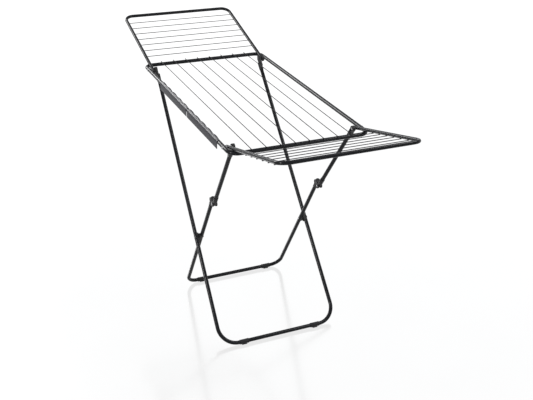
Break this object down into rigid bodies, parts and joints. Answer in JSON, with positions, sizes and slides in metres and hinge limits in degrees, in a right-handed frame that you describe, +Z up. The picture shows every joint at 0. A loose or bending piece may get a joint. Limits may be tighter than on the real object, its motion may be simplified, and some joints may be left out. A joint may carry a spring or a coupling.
{
  "type": "folding clothes airer",
  "caption": "Free-standing folding clothes airer with crossed tube legs, a wired panel, two fold-out wings and clip-on hanger strips.",
  "frame": {"origin": "on the floor under the middle of the panel", "axes": "+X from the rear feet to the front feet, along the panel; +Y across the airer, away from the rail with the hanger strips; +Z up"},
  "size_m": [1.7756, 0.571, 1.0433],
  "materials": {
    "tube_paint": "gloss black powder coat",
    "wire_paint": "satin dark grey coating on thin wire",
    "black_plastic": "satin moulded black",
    "clip_plastic": "satin moulded black",
    "strip_plastic": "satin dark grey",
    "rivet_steel": "blackened steel rivet",
    "plain_steel": "bare steel, hidden inside the tube"
  },
  "bodies": {
    "front_leg": {"front_leg": "tube_paint", "front_leg_knuckle_left": "black_plastic", "front_leg_knuckle_right": "black_plastic", "crossing_rivet_left": "rivet_steel", "crossing_rivet_right": "rivet_steel", "front_saddle_left": "black_plastic", "front_saddle_right": "black_plastic", "front_foot_clip_left": "clip_plastic", "front_foot_clip_right": "clip_plastic"},
    "rear_leg": {"rear_leg": "tube_paint", "rear_saddle_left": "black_plastic", "rear_saddle_right": "black_plastic", "elbow_fork_left": "black_plastic", "elbow_fork_right": "black_plastic", "elbow_rivet_left": "rivet_steel", "elbow_rivet_right": "rivet_steel", "rear_foot_clip_left": "clip_plastic", "rear_foot_clip_right": "clip_plastic"},
    "rear_links": {"rear_link_left": "tube_paint", "rear_link_right": "tube_paint", "elbow_tongue_left": "black_plastic", "elbow_tongue_right": "black_plastic", "link_knuckle_left": "black_plastic", "link_knuckle_right": "black_plastic", "link_rivet_left": "rivet_steel", "link_rivet_right": "rivet_steel"},
    "panel": {"panel_frame": "tube_paint", "panel_spigot": "plain_steel", "panel_wires": "wire_paint", "pivot_washers": "rivet_steel", "back_pivot_pin_left": "rivet_steel", "back_pivot_pin_right": "rivet_steel", "front_pivot_pin_left": "rivet_steel", "front_pivot_pin_right": "rivet_steel", "hanger_strip_back": "strip_plastic", "hanger_strip_front": "strip_plastic"},
    "back_wing": {"back_wing_frame": "tube_paint", "back_wing_wires": "wire_paint", "back_wing_caps": "black_plastic"},
    "front_wing": {"front_wing_frame": "tube_paint", "front_wing_wires": "wire_paint", "front_wing_caps": "black_plastic"}
  },
  "joints": [
    {"name": "rear_leg_fold", "type": "hinge", "parent": "front_leg", "child": "rear_leg", "pos_m": [0.07647, 0, 0.35124], "axis": [0, -1, 0], "range_deg": [0, 73.28]},
    {"name": "panel_fold", "type": "hinge", "parent": "front_leg", "child": "panel", "pos_m": [-0.448, 0, 0.915], "axis": [0, 1, 0], "range_deg": [0, 45.69]},
    {"name": "elbow_fold", "type": "hinge", "parent": "rear_leg", "child": "rear_links", "pos_m": [0.23029, 0, 0.5792], "axis": [0, 1, 0], "range_deg": [0, 176.83]},
    {"name": "back_wing_fold", "type": "hinge", "parent": "panel", "child": "back_wing", "pos_m": [-0.448, 0, 0.915], "axis": [0, 1, 0], "range_deg": [0, 162]},
    {"name": "front_wing_fold", "type": "hinge", "parent": "panel", "child": "front_wing", "pos_m": [0.448, 0, 0.915], "axis": [0, -1, 0], "range_deg": [0, 160.1]}
  ],
  "couplings": [
    {"joint": "panel_fold", "follows": "rear_leg_fold", "ratio": 0.6235},
    {"joint": "elbow_fold", "follows": "rear_leg_fold", "ratio": 2.4129}
  ]
}
